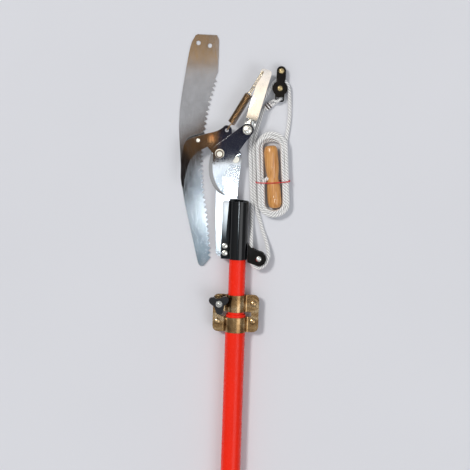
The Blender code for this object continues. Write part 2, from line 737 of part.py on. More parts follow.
def make_block():
    """A single rope block lying on its side, with a becket staple at its lower end."""
    x, y = BLOCK
    eye_x, eye_y = BLOCK_EYE
    cheek = [
        *arc(BLOCK_EYE, 6.8, 0, 180, 8),
        (eye_x - 6.9, eye_y - 12.0),
        *arc(BLOCK, 11.2, 118, 232, 10),
        (x - 6.6, y - 12.9),
        (x + 6.6, y - 12.9),
        *arc(BLOCK, 11.2, -52, 58, 10),
        (eye_x + 6.7, eye_y - 12.0),
    ]
    half = 4.1
    for name, low in (("block_front_cheek", BLOCK_Z + half), ("block_back_cheek", BLOCK_Z - half - SHEET)):
        holes = [circle(BLOCK, 3 + GAP, 16), circle(BLOCK_EYE, 3 + GAP, 16)]
        prism(name, [cheek, *holes], low, low + SHEET, BLACK)
    wheel = wheel_profile(6.8, 9.4, 3.8, 3.3)
    turned("block_wheel", wheel, NYLON, (*BLOCK, BLOCK_Z), ring=True, steps=24)
    top = BLOCK_Z + half + SHEET + GAP
    low = BLOCK_Z - half - SHEET + 0.1
    axle = [(0, top + 1.8), (2.8, top + 1.4), (4.2, top + 0.3), (4.2, top), (3, top), (3, low), (0, low)]
    turned("block_axle", axle, ZINC, (*BLOCK, 0))
    turned("block_rivet", axle, ZINC, (*BLOCK_EYE, 0))
    spacer = [(6.0, half - GAP), (6.0, -half + GAP), (3 + GAP, -half + GAP), (3 + GAP, half - GAP)]
    turned("block_spacer", spacer, BLACK, (*BLOCK_EYE, BLOCK_Z), ring=True)
    reach = 5.7
    staple = [(x - reach, y - 10.6), (x - reach, BECKET_Y + 1.6), (x - reach + 1.6, BECKET_Y)]
    staple += [(x + reach - 1.6, BECKET_Y), (x + reach, BECKET_Y + 1.6), (x + reach, y - 10.6)]
    tube("becket_staple", [(px, py, BLOCK_Z) for px, py in staple], 1.3, BLACK, 2)


def make_ferrule():
    """A pressed oval sleeve on the rope's eye."""
    wide, tall = FERRULE_WIDTH / 2, FERRULE_HEIGHT / 2
    section = rounded([(-wide, -tall, 2.6), (wide, -tall, 2.6), (wide, tall, 2.6), (-wide, tall, 2.6)])
    turn = math.radians(FERRULE_TURN - 90)
    at = (*FERRULE, tall)
    half = FERRULE_LENGTH / 2
    prism("rope_ferrule", [section], -half, half, ZINC, turn=(-math.pi / 2, 0, turn), at=at)


def ferrule_leg(end, side, z=3.1):
    """Two points that lead straight out of the ferrule, from its upper end (1) or its lower end (-1)."""
    turn = math.radians(FERRULE_TURN)
    along = Vector((math.cos(turn), math.sin(turn)))
    across = Vector((-along.y, along.x))
    first = Vector(FERRULE) + along * end * (FERRULE_LENGTH / 2 + GAP) + across * side
    second = first + along * end * 2.4
    return [(first.x, first.y, z), (second.x, second.y, z)]


def make_becket_eye():
    """The eye of rope that holds the becket staple, from one end of the ferrule and back to it."""
    over_end, under_end = ferrule_leg(1, 2.6), ferrule_leg(1, -2.6)
    route = [
        *over_end,
        (45.2, 224.0, 6.6),
        (47.2, 224.1, 10.0),
        (50.4, 224.2, 10.8),
        (53.8, 225.6, 10.2),
        (56.0, 228.4, 6.4),
        (55.4, 227.0, 3.2),
        (52.6, 223.8, 2.4),
        (48.8, 220.9, 2.5),
        *reversed(under_end),
    ]
    points = [over_end[0], *smooth(route[1:-1], 3), under_end[0]]
    tube("becket_eye", points, 2.1, ROPE, 2)


ROPE_ROUTE = [
    (29.3, 203.5, 2.7),
    (26.2, 193.0, 2.5),
    (22.6, 180.0, 2.5),
    (20.2, 165.0, 2.5),
    (19.1, 151.0, 2.5),
    (20.3, 135.0, 2.5),
    (21.5, 117.0, 2.5),
    (22.4, 98.0, 2.5),
    (23.9, 78.0, 2.5),
    (26.9, 60.0, 2.5),
    (31.6, 45.0, 2.7),
    (36.4, 29.0, 3.6),
    (41.8, 14.0, 6.8),
    (45.2, 1.5, 11.2),
    (45.6, -10.5, 15.2),
    (40.6, -21.8, 17.2),
    (31.0, -26.4, 17.5),
    (22.4, -21.4, 17.5),
    (19.6, -9.5, 17.5),
    (19.6, 1.0, 17.3),
    (19.6, 9.5, 16.0),
    (19.5, 20.0, 12.3),
    (19.4, 32.0, 7.3),
    (19.3, 45.0, 3.5),
    (19.3, 58.0, 2.5),
    (19.0, 74.0, 2.5),
    (17.3, 94.0, 2.5),
    (15.7, 117.0, 2.5),
    (14.3, 138.0, 2.5),
    (13.4, 152.0, 2.5),
    (14.5, 167.0, 2.5),
    (17.0, 181.5, 2.5),
    (21.4, 195.5, 2.5),
    (24.8, 206.5, 2.5),
    (27.2, 216.5, 2.6),
    (31.0, 226.5, 3.4),
    (36.6, 236.0, 5.2),
    (42.2, 244.5, 6.4),
    (46.9, 252.6, 6.4),
    (54.5, 256.4, 6.4),
    (62.2, 253.0, 6.4),
    (67.2, 244.5, 6.2),
    (69.2, 232.0, 4.4),
    (70.3, 218.0, 2.8),
    (70.6, 203.0, 2.5),
    (69.6, 188.0, 2.5),
    (67.6, 173.0, 2.5),
]


def make_rope():
    """The rope from its ferrule round both wheels to the hank, and the hank as one solid."""
    start = ferrule_leg(-1, 0)
    route = smooth([*start, *ROPE_ROUTE], 8)
    points = [start[0], *spread(route[8:], 10.5)]
    tube("pull_rope", [(x, y, max(z, ROPE_R + 0.02)) for x, y, z in points], ROPE_R, ROPE, 2)
    loops = [stadium(HANK_HALF, HANK_OUT), stadium(HANK_HALF, HANK_IN)]
    turn = (0, 0, math.radians(HANK_TURN))
    prism("rope_hank", loops, 0, HANK_HEIGHT, ROPE, turn=turn, at=(*HANK, HANK_HEIGHT / 2))


def make_toggle():
    """A turned wooden handle with a waist, lying in the hank."""
    half = TOGGLE_LENGTH / 2
    profile = [(0, half), (5.5, half), (8.2, half - 1.6), (9.6, half - 5)]
    count = 10
    for i in range(count + 1):
        height = half - 9 - (TOGGLE_LENGTH - 18) * i / count
        waist = math.exp(-((height / 12) ** 2))
        profile.append((TOGGLE_R - (TOGGLE_R - WAIST_R) * waist, height))
    profile += [(9.6, -half + 5), (8.2, -half + 1.6), (5.5, -half), (0, -half)]
    turn = (-math.pi / 2, 0, math.radians(TOGGLE_TURN))
    turned("toggle_handle", profile, WOOD, (*TOGGLE, TOGGLE_R), turn, steps=20)


def make_tie():
    """A thin tie that arches over the hank and the toggle."""
    arch = [(-24.8, 6.4), (-24.9, 12.0), (-24.7, 16.6), (-22.6, 18.2), (-10.0, 20.2), (0, 21.1)]
    arch += [(10.0, 20.2), (22.6, 18.2), (24.7, 16.6), (24.9, 10.0), (24.8, 1.2)]
    turn = math.radians(HANK_TURN)
    across = Vector((math.cos(turn), math.sin(turn)))
    middle = Vector(HANK) + Vector((-math.sin(turn), math.cos(turn))) * -12.0
    points = []
    for side, height in smooth(arch, 3):
        spot = middle + across * side
        points.append((spot.x, spot.y, height))
    tube("toggle_tie", points, 0.6, TIE, 1)


def build():
    global parts, cutters, root
    clear_scene()
    parts = collection("telescoping_pole_saw")
    cutters = collection("cutters")
    root = bpy.data.objects.new("tool_root", None)
    parts.objects.link(root)
    root.location = (ROOT_X * MM, ROOT_Y * MM, 0)

    make_inner_tube()
    make_outer_tube()
    make_butt_cap()
    make_body_plate()
    make_socket()
    make_socket_bolts()
    make_rope_bracket()
    make_guide_wheel()
    make_hook_jaw()
    make_jaw_rivet()
    make_cutting_blade()
    make_lever()
    make_fasteners()
    make_spring()
    clamp_half("clamp_front", 1)
    clamp_half("clamp_back", -1)
    make_clamp_rivets()
    make_knob()
    make_saw_blade()
    make_block()
    make_ferrule()
    make_becket_eye()
    make_rope()
    make_toggle()
    make_tie()


build()
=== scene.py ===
"""Looks for the telescoping pole pruner: finer forms, materials, the wound rope, lights and camera.

Lengths are millimetres in the pole's own coordinates, as in the model: +Y up the pole, +X to the rope's side,
+Z up from the floor. place() turns them into the frame's metres.
"""

import math

import bmesh
import bpy
from mathutils import Matrix, Vector


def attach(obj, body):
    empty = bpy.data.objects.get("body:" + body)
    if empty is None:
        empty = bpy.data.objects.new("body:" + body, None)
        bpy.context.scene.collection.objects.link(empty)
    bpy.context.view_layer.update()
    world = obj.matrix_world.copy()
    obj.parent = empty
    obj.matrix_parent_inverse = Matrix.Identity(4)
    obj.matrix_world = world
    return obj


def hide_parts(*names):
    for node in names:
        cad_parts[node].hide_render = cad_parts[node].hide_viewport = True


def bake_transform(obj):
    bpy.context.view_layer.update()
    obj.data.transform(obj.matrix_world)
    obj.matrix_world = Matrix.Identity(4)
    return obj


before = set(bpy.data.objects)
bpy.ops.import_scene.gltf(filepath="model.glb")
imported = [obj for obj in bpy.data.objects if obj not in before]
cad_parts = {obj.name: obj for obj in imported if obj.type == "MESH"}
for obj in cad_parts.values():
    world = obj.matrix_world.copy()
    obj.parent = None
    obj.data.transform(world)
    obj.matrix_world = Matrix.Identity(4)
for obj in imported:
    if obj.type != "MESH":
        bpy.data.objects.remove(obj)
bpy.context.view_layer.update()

MM = 0.001
ROOT = Vector((25.7, 491.8, 0.0))
POLE_Z = 17.5


def place(x, y, z=0.0):
    return (Vector((x, y, z)) + ROOT) * MM


# Camera

CAMERA_TARGET = (-5.0, 22.0, 14.0)
CAMERA_DISTANCE, CAMERA_FIELD = 2.5, 0.705  # metres: to the target, and the width in view there
CAMERA_TILT = math.radians(8.0)


def make_camera():
    """Above the head, a little towards its top, and turned as the photograph is."""
    back = Vector((0, math.sin(CAMERA_TILT), math.cos(CAMERA_TILT)))
    up = Vector((-0.033, 0.999, 0))
    right = up.cross(back).normalized()
    up = back.cross(right).normalized()
    data = bpy.data.cameras.new("camera")
    data.sensor_width = 36.0
    data.lens = data.sensor_width * CAMERA_DISTANCE / CAMERA_FIELD
    data.clip_start = 0.01
    camera = bpy.data.objects.new("camera", data)
    bpy.context.scene.collection.objects.link(camera)
    turn = Matrix((right, up, back)).transposed().to_4x4()
    camera.matrix_world = Matrix.Translation(place(*CAMERA_TARGET) + back * CAMERA_DISTANCE) @ turn
    bpy.context.scene.camera = camera


make_camera()


# Curves and meshes


def smooth(points, per=6):
    """Points on a smooth curve through the given ones."""
    points = [Vector(p) for p in points]
    ends = [2 * points[0] - points[1], *points, 2 * points[-1] - points[-2]]
    found = []
    for a, b, c, d in zip(ends, ends[1:], ends[2:], ends[3:]):
        for step in range(per):
            t = step / per
            found.append(
                0.5 * (2 * b + (c - a) * t + (2 * a - 5 * b + 4 * c - d) * t**2 + (3 * b - a - 3 * c + d) * t**3)
            )
    return [*found, points[-1]]


def even(points, step):
    """The same path with its points one step apart."""
    found = [points[0].copy()]
    left = step
    for a, b in zip(points, points[1:]):
        span = (b - a).length
        done = 0.0
        while span - done >= left:
            done += left
            found.append(a.lerp(b, done / span))
            left = step
        left -= span - done
    return found


def frames(points):
    """The direction at each point with two sides that don't twist about it."""
    side = None
    found = []
    for i, point in enumerate(points):
        ahead = (points[min(i + 1, len(points) - 1)] - points[max(i - 1, 0)]).normalized()
        if side is None:
            side = ahead.cross(Vector((0, 0, 1)))
        side = (side - ahead * side.dot(ahead)).normalized()
        found.append((point, side, ahead.cross(side)))
    return found


def circle(centre, across, up, radius, sides):
    """Points round a circle that lies in the plane of two directions."""
    found = []
    for k in range(sides):
        angle = 2 * math.pi * k / sides
        found.append(centre + (across * math.cos(angle) + up * math.sin(angle)) * radius)
    return found


def link(name, mesh, material, body):
    mesh.materials.append(material)
    obj = bpy.data.objects.new(name, mesh)
    bpy.context.scene.collection.objects.link(obj)
    if body:
        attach(obj, body)
    return obj


def swept(name, rings, material, body, uv=None, closed=False):
    """A smooth surface through rings of points in millimetres, capped unless it closes on itself."""
    mesh = bpy.data.meshes.new(name)
    rows, count = len(rings), len(rings[0])
    verts = [tuple((Vector(p) + ROOT) * MM) for ring in rings for p in ring]
    faces = []
    for i in range(rows if closed else rows - 1):
        j = (i + 1) % rows
        for k in range(count):
            n = (k + 1) % count
            faces.append((i * count + k, i * count + n, j * count + n, j * count + k))
    if not closed:
        faces.append(tuple(range(count - 1, -1, -1)))
        faces.append(tuple((rows - 1) * count + k for k in range(count)))
    mesh.from_pydata(verts, [], faces)
    if uv:
        layer = mesh.uv_layers.new(name="along")
        for number, face in enumerate(mesh.polygons):
            closes_ring = number < len(faces) - 2 and number % count == count - 1
            for corner in face.loop_indices:
                row, column = divmod(mesh.loops[corner].vertex_index, count)
                across = 1.0 if closes_ring and column == 0 else column / count
                layer.data[corner].uv = (across, row * uv)
    shape = bmesh.new()
    shape.from_mesh(mesh)
    bmesh.ops.recalc_face_normals(shape, faces=shape.faces)
    shape.to_mesh(mesh)
    shape.free()
    mesh.shade_smooth()
    return link(name, mesh, material, body)


def rod(name, points, radius, material, body, sides=12):
    path = frames([Vector(p) for p in points])
    rings = [circle(point, side, over, radius, sides) for point, side, over in path]
    return swept(name, rings, material, body)


STRANDS = 3
STRAND_PITCH = 14.0
STRAND_OFFSET, STRAND_THICKNESS = 0.46, 0.56  # of the rope's radius
ROPE_SIDES = 18


def strand_radius(angle, radius):
    """The outer radius of a three-strand rope at an angle from the middle of a strand."""
    off, thick = radius * STRAND_OFFSET, radius * STRAND_THICKNESS
    half = math.pi / STRANDS
    angle = (angle + half) % (2 * half) - half
    return off * math.cos(angle) + math.sqrt(max(0.0, thick**2 - (off * math.sin(angle)) ** 2))


def laid_rope(name, points, radius, material, body, step=1.25):
    """A laid rope: strands wound round the path."""
    path = even(smooth(points), step)
    rings = []
    for i, (point, side, over) in enumerate(frames(path)):
        turn = -2 * math.pi * i * step / STRAND_PITCH
        ring = []
        for k in range(ROPE_SIDES):
            angle = 2 * math.pi * k / ROPE_SIDES
            outward = side * math.cos(angle + turn) + over * math.sin(angle + turn)
            ring.append(point + outward * strand_radius(angle, radius))
        rings.append(ring)
    return swept(name, rings, material, body, uv=step / STRAND_PITCH), path


EDGE_SEGMENTS = 2
EDGE_ANGLE = math.radians(28.0)  # a sharper corner than this is rounded
FLAT_ANGLE = math.radians(1.5)
WELD = 2e-6


def fine(node, body, material, width):
    """A node's own shape with rounded edges, standing for the node."""
    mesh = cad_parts[node].data.copy()
    mesh.materials.clear()
    shape = bmesh.new()
    shape.from_mesh(mesh)
    bmesh.ops.remove_doubles(shape, verts=shape.verts, dist=WELD)
    bmesh.ops.dissolve_limit(shape, angle_limit=FLAT_ANGLE, verts=shape.verts, edges=shape.edges)
    shape.to_mesh(mesh)
    shape.free()
    obj = link(node + "_form", mesh, material, body)
    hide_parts(node)
    bevel = obj.modifiers.new("edge", "BEVEL")
    bevel.width = width * MM
    bevel.segments = EDGE_SEGMENTS
    bevel.limit_method = "ANGLE"
    bevel.angle_limit = EDGE_ANGLE
    bevel.use_clamp_overlap = True
    for face in mesh.polygons:
        face.use_smooth = True
    mesh.set_sharp_from_angle(angle=EDGE_ANGLE)


# Materials


NOISE_LOW, NOISE_HIGH = 0.3, 0.7  # most of a noise's values lie between these


def finish_of(name, colour, roughness, metallic=0.0, coat=0.0, coat_roughness=0.05, sheen=0.0):
    made = bpy.data.materials.new(name)
    made.use_nodes = True
    inputs = made.node_tree.nodes["Principled BSDF"].inputs
    inputs["Base Color"].default_value = (*colour, 1)
    inputs["Roughness"].default_value = roughness
    inputs["Metallic"].default_value = metallic
    inputs["Coat Weight"].default_value = coat
    inputs["Coat Roughness"].default_value = coat_roughness
    inputs["Sheen Weight"].default_value = sheen
    return made


def texture(made, scale, detail=3.0, turn=0.0, kind="Object", distortion=0.0):
    """A noise's value, with its scale along X, Y and Z in features per metre, or per unit of the UV map."""
    tree = made.node_tree
    where = tree.nodes.new("ShaderNodeTexCoord")
    mapping = tree.nodes.new("ShaderNodeMapping")
    mapping.inputs["Scale"].default_value = scale
    mapping.inputs["Rotation"].default_value = (0, 0, turn)
    tree.links.new(where.outputs[kind], mapping.inputs["Vector"])
    node = tree.nodes.new("ShaderNodeTexNoise")
    node.inputs["Detail"].default_value = detail
    node.inputs["Distortion"].default_value = distortion
    node.inputs["Scale"].default_value = 1.0
    tree.links.new(mapping.outputs["Vector"], node.inputs["Vector"])
    return node.outputs["Fac"]


def ramp(made, value, stops):
    tree = made.node_tree
    node = tree.nodes.new("ShaderNodeValToRGB")
    for i, (at, colour) in enumerate(stops):
        stop = node.color_ramp.elements[i] if i < 2 else node.color_ramp.elements.new(at)
        stop.position = at
        stop.color = (*colour, 1)
    tree.links.new(value, node.inputs["Fac"])
    return node.outputs["Color"]


def colour_by(made, value, stops):
    shader = made.node_tree.nodes["Principled BSDF"]
    made.node_tree.links.new(ramp(made, value, stops), shader.inputs["Base Color"])


def rough_by(made, value, low, high):
    tree = made.node_tree
    node = tree.nodes.new("ShaderNodeMapRange")
    node.inputs["From Min"].default_value = NOISE_LOW
    node.inputs["From Max"].default_value = NOISE_HIGH
    node.inputs["To Min"].default_value = low
    node.inputs["To Max"].default_value = high
    tree.links.new(value, node.inputs["Value"])
    tree.links.new(node.outputs["Result"], tree.nodes["Principled BSDF"].inputs["Roughness"])


def bump_by(made, value, strength, height):
    """Bump from a value; calls stack on each other."""
    tree = made.node_tree
    shader = tree.nodes["Principled BSDF"]
    node = tree.nodes.new("ShaderNodeBump")
    node.inputs["Strength"].default_value = strength
    node.inputs["Distance"].default_value = height * MM
    tree.links.new(value, node.inputs["Height"])
    if shader.inputs["Normal"].is_linked:
        tree.links.new(shader.inputs["Normal"].links[0].from_socket, node.inputs["Normal"])
    tree.links.new(node.outputs["Normal"], shader.inputs["Normal"])


def shades(colour, dark, light):
    """Two stops: a colour's darker and lighter versions."""
    low, high = (tuple(min(1.0, c * level) for c in colour) for level in (dark, light))
    return [(NOISE_LOW, low), (NOISE_HIGH, high)]


def make_chrome():
    made = finish_of("chromed_steel", (0.80, 0.80, 0.80), 0.10, 1.0)
    colour_by(made, texture(made, (60, 60, 60), 4), shades((0.80, 0.80, 0.80), 0.93, 1.05))
    rough_by(made, texture(made, (900, 90, 400), 4, 0.4), 0.035, 0.085)
    bump_by(made, texture(made, (1500, 60, 600), 3, 0.5), 0.03, 0.02)
    bump_by(made, texture(made, (38, 30, 30), 1), 0.06, 0.3)
    return made


def make_steel(name, colour, low, high, turn):
    made = finish_of(name, colour, low, 1.0)
    colour_by(made, texture(made, (50, 50, 50), 4), shades(colour, 0.90, 1.08))
    rough_by(made, texture(made, (1800, 60, 600), 4, turn), low, high)
    bump_by(made, texture(made, (2400, 40, 800), 3, turn), 0.10, 0.04)
    bump_by(made, texture(made, (30, 24, 30), 1), 0.08, 0.3)
    return made


def make_zinc():
    made = finish_of("zinc_plated", (0.72, 0.71, 0.66), 0.22, 1.0)
    colour_by(made, texture(made, (400, 400, 400), 3), shades((0.72, 0.71, 0.66), 0.88, 1.1))
    rough_by(made, texture(made, (700, 700, 700), 4), 0.16, 0.30)
    bump_by(made, texture(made, (900, 900, 900), 3), 0.08, 0.05)
    return made


def make_brass():
    made = finish_of("brass_rivet", (0.74, 0.58, 0.30), 0.22, 1.0)
    colour_by(made, texture(made, (500, 500, 500), 3), shades((0.74, 0.58, 0.30), 0.8, 1.1))
    rough_by(made, texture(made, (700, 700, 700), 4), 0.14, 0.32)
    return made


def make_yellow_zinc():
    made = finish_of("yellow_zinc", (0.38, 0.235, 0.105), 0.24, 1.0)
    tones = [(0.30, (0.20, 0.11, 0.045)), (0.70, (0.56, 0.42, 0.25)), (0.50, (0.38, 0.235, 0.105))]
    colour_by(made, texture(made, (45, 60, 45), 4, distortion=0.8), tones)
    rough_by(made, texture(made, (500, 500, 500), 4), 0.16, 0.34)
    bump_by(made, texture(made, (800, 800, 800), 3), 0.06, 0.05)
    bump_by(made, texture(made, (40, 40, 40), 1), 0.10, 0.3)
    return made


def make_paint(name, colour, roughness, peel, specular):
    made = finish_of(name, colour, roughness)
    made.node_tree.nodes["Principled BSDF"].inputs["Specular IOR Level"].default_value = specular
    colour_by(made, texture(made, (25, 12, 25), 3), shades(colour, 0.93, 1.05))
    rough_by(made, texture(made, (300, 120, 300), 4), roughness * 0.8, roughness * 1.3)
    bump_by(made, texture(made, (350, 350, 350), 2), peel, 0.05)
    return made


def make_plastic(name, colour, roughness, grain):
    made = finish_of(name, colour, roughness)
    colour_by(made, texture(made, (80, 80, 80), 3), shades(colour, 0.85, 1.2))
    rough_by(made, texture(made, (600, 600, 600), 3), roughness * 0.8, roughness * 1.25)
    bump_by(made, texture(made, (1600, 1600, 1600), 2), grain, 0.05)
    return made


def math_node(tree, operation, value, other=0.0):
    node = tree.nodes.new("ShaderNodeMath")
    node.operation = operation
    tree.links.new(value, node.inputs[0])
    node.inputs[1].default_value = other
    return node.outputs["Value"]


def make_rope_material():
    """White yarn, with painted shade darkening it down in the grooves between the strands."""
    made = finish_of("white_rope", (0.80, 0.80, 0.77), 0.62, sheen=0.2)
    tree = made.node_tree
    where = tree.nodes.new("ShaderNodeTexCoord")
    parts = tree.nodes.new("ShaderNodeSeparateXYZ")
    tree.links.new(where.outputs["UV"], parts.inputs["Vector"])
    turns = math_node(tree, "MULTIPLY", parts.outputs["X"], float(STRANDS))
    # painted shade: the base colour goes dark where the position across the strands reaches a groove between them
    groove = math_node(tree, "PINGPONG", turns, 0.5)
    groove_shade_stops = [(0.20, (1.0, 1.0, 1.0)), (0.5, (0.16, 0.16, 0.18)), (0.36, (0.82, 0.82, 0.82))]
    yarn = texture(made, (40.0, 3.4, 1.0), 3, 0.0, "UV")
    yarn_stops = [(0.32, (0.84, 0.84, 0.82)), (0.75, (1.0, 1.0, 1.0)), (0.55, (0.95, 0.95, 0.94))]
    mix = tree.nodes.new("ShaderNodeMix")
    mix.data_type = "RGBA"
    mix.blend_type = "MULTIPLY"
    mix.inputs["Factor"].default_value = 1.0
    tree.links.new(ramp(made, yarn, yarn_stops), mix.inputs["A"])
    tree.links.new(ramp(made, groove, groove_shade_stops), mix.inputs["B"])
    tree.links.new(mix.outputs["Result"], tree.nodes["Principled BSDF"].inputs["Base Color"])
    rough_by(made, yarn, 0.45, 0.75)
    bump_by(made, yarn, 0.5, 0.25)
    bump_by(made, texture(made, (2600, 2600, 2600), 2), 0.15, 0.08)
    return made


def make_wood(turn):
    made = finish_of("varnished_wood", (0.62, 0.28, 0.07), 0.34, 0.0, 0.7, 0.12)
    grain = texture(made, (420, 26, 420), 6, turn, distortion=0.6)
    colour_by(made, grain, [(0.30, (0.46, 0.17, 0.035)), (0.48, (0.66, 0.30, 0.075)), (0.66, (0.78, 0.40, 0.13))])
    rough_by(made, grain, 0.26, 0.42)
    bump_by(made, texture(made, (1100, 40, 1100), 3, turn), 0.12, 0.08)
    return made


TOGGLE_TURN = math.radians(6.5)
CHROME = make_chrome()
STEEL = make_steel("bare_steel", (0.66, 0.67, 0.69), 0.10, 0.22, 0.25)
LEVER_STEEL = make_steel("lever_steel", (0.74, 0.73, 0.70), 0.05, 0.12, 1.10)
RIVET_STEEL = make_steel("rivet_steel", (0.92, 0.88, 0.78), 0.34, 0.46, 0.40)
FERRULE_METAL = make_steel("ferrule_metal", (0.90, 0.87, 0.86), 0.26, 0.38, 2.30)
# A near-black copy of the ferrule metal: painted shade for the faces down in the ferrule's pressed grooves.
GROOVE_SHADE_METAL = make_steel("ferrule_groove_shade", (0.10, 0.075, 0.065), 0.22, 0.36, 2.30)
SPRING_STEEL = make_steel("spring_steel", (0.22, 0.135, 0.070), 0.14, 0.26, 1.05)
SAW_STEEL = make_steel("saw_steel", (0.62, 0.62, 0.63), 0.07, 0.16, 0.10)
WIRE_STEEL = make_steel("wire_steel", (0.58, 0.50, 0.38), 0.14, 0.26, 1.05)
ZINC = make_zinc()
BRASS = make_brass()
YELLOW = make_yellow_zinc()
BLACK = make_paint("black_paint", (0.003, 0.0035, 0.0045), 0.07, 0.02, 0.4)
CHEEK_BLACK = make_paint("cheek_paint", (0.006, 0.0045, 0.0035), 0.14, 0.05, 0.14)
RED = make_paint("red_paint", (0.93, 0.022, 0.005), 0.24, 0.05, 0.22)
KNOB_BLACK = make_plastic("black_plastic", (0.010, 0.010, 0.011), 0.18, 0.04)
NYLON = make_plastic("nylon", (0.05, 0.05, 0.05), 0.42, 0.10)
INSERT = make_plastic("nut_insert", (0.13, 0.075, 0.035), 0.40, 0.05)
RUBBER = make_plastic("black_rubber", (0.02, 0.02, 0.02), 0.65, 0.25)
ROPE = make_rope_material()
TIE = make_plastic("red_tie", (0.70, 0.02, 0.03), 0.45, 0.3)
WOOD = make_wood(TOGGLE_TURN)


# Forms that keep the model's own shape

KEPT = {
    "head": [
        ("body_plate", "bare_steel", STEEL, 0.35),
        ("hook_jaw", "chromed_steel", CHROME, 0.60),
        ("pivot_bolt", "zinc_plated", RIVET_STEEL, 0.35),
        ("pivot_washer", "zinc_plated", RIVET_STEEL, 0.25),
        ("pivot_nut", "zinc_plated", RIVET_STEEL, 0.45),
        ("jaw_rivet", "zinc_plated", RIVET_STEEL, 0.30),
        ("socket", "black_paint", BLACK, 0.30),
        ("socket_bolt_1", "zinc_plated", ZINC, 0.30),
        ("socket_bolt_2", "zinc_plated", ZINC, 0.30),
        ("socket_nut_1", "zinc_plated", ZINC, 0.30),
        ("socket_nut_2", "zinc_plated", ZINC, 0.30),
        ("rope_bracket", "black_paint", CHEEK_BLACK, 0.35),
        ("guide_axle", "zinc_plated", ZINC, 0.30),
        ("inner_tube", "red_paint", RED, 0.20),
        ("guide_bush", "nylon", NYLON, 0.20),
        ("block_front_cheek", "black_paint", CHEEK_BLACK, 0.40),
        ("block_back_cheek", "black_paint", CHEEK_BLACK, 0.40),
        ("block_axle", "brass_rivet", BRASS, 0.40),
        ("block_rivet", "brass_rivet", BRASS, 0.40),
        ("block_spacer", "black_paint", BLACK, 0.20),
    ],
    "blade": [
        ("lever", "bare_steel", LEVER_STEEL, 0.35),
        ("lever_bolt", "zinc_plated", ZINC, 0.30),
        ("lever_washer", "zinc_plated", ZINC, 0.25),
        ("lever_nut", "zinc_plated", ZINC, 0.35),
    ],
    "guide_wheel": [("guide_wheel", "nylon", NYLON, 0.25)],
    "block_wheel": [("block_wheel", "nylon", NYLON, 0.25)],
    "outer_pole": [
        ("outer_tube", "red_paint", RED, 0.20),
        ("clamp_front", "yellow_zinc", YELLOW, 0.30),
        ("clamp_back", "yellow_zinc", YELLOW, 0.30),
        ("clamp_rivet_1", "yellow_zinc", YELLOW, 0.40),
        ("clamp_rivet_2", "yellow_zinc", YELLOW, 0.40),
        ("clamp_rivet_3", "yellow_zinc", YELLOW, 0.40),
        ("clamp_stud", "zinc_plated", ZINC, 0.35),
        ("butt_cap", "black_rubber", RUBBER, 0.60),
    ],
    "knob": [
        ("clamp_knob", "black_plastic", KNOB_BLACK, 1.20),
        ("knob_insert", "zinc_plated", ZINC, 0.25),
    ],
    "saw_blade": [("saw_blade", "bare_steel", SAW_STEEL, 0.25)],
}

for body, rows in KEPT.items():
    for node, slot, look, width in rows:
        fine(node, body, look, width)


# Cutting blade with its ground edge

BLADE_LOW, BLADE_HIGH = 23.6, 26.6
GRIND_DEPTH, LEAST_GRIND, EDGE_HEIGHT = 6.0, 0.35, 0.5
PIVOT = (-31.8, 144.8)
LEVER_PIN = (8.2, 181.1)
PIVOT_HOLE_R, PIN_HOLE_R = 4.3, 3.8


def arc(centre, radius, start, end, steps=10):
    found = []
    for step in range(steps + 1):
        angle = math.radians(start + (end - start) * step / steps)
        found.append(Vector((centre[0] + radius * math.cos(angle), centre[1] + radius * math.sin(angle))))
    return found


def flat(points, per=4):
    return [Vector((p.x, p.y)) for p in smooth([(x, y, 0) for x, y in points], per)]


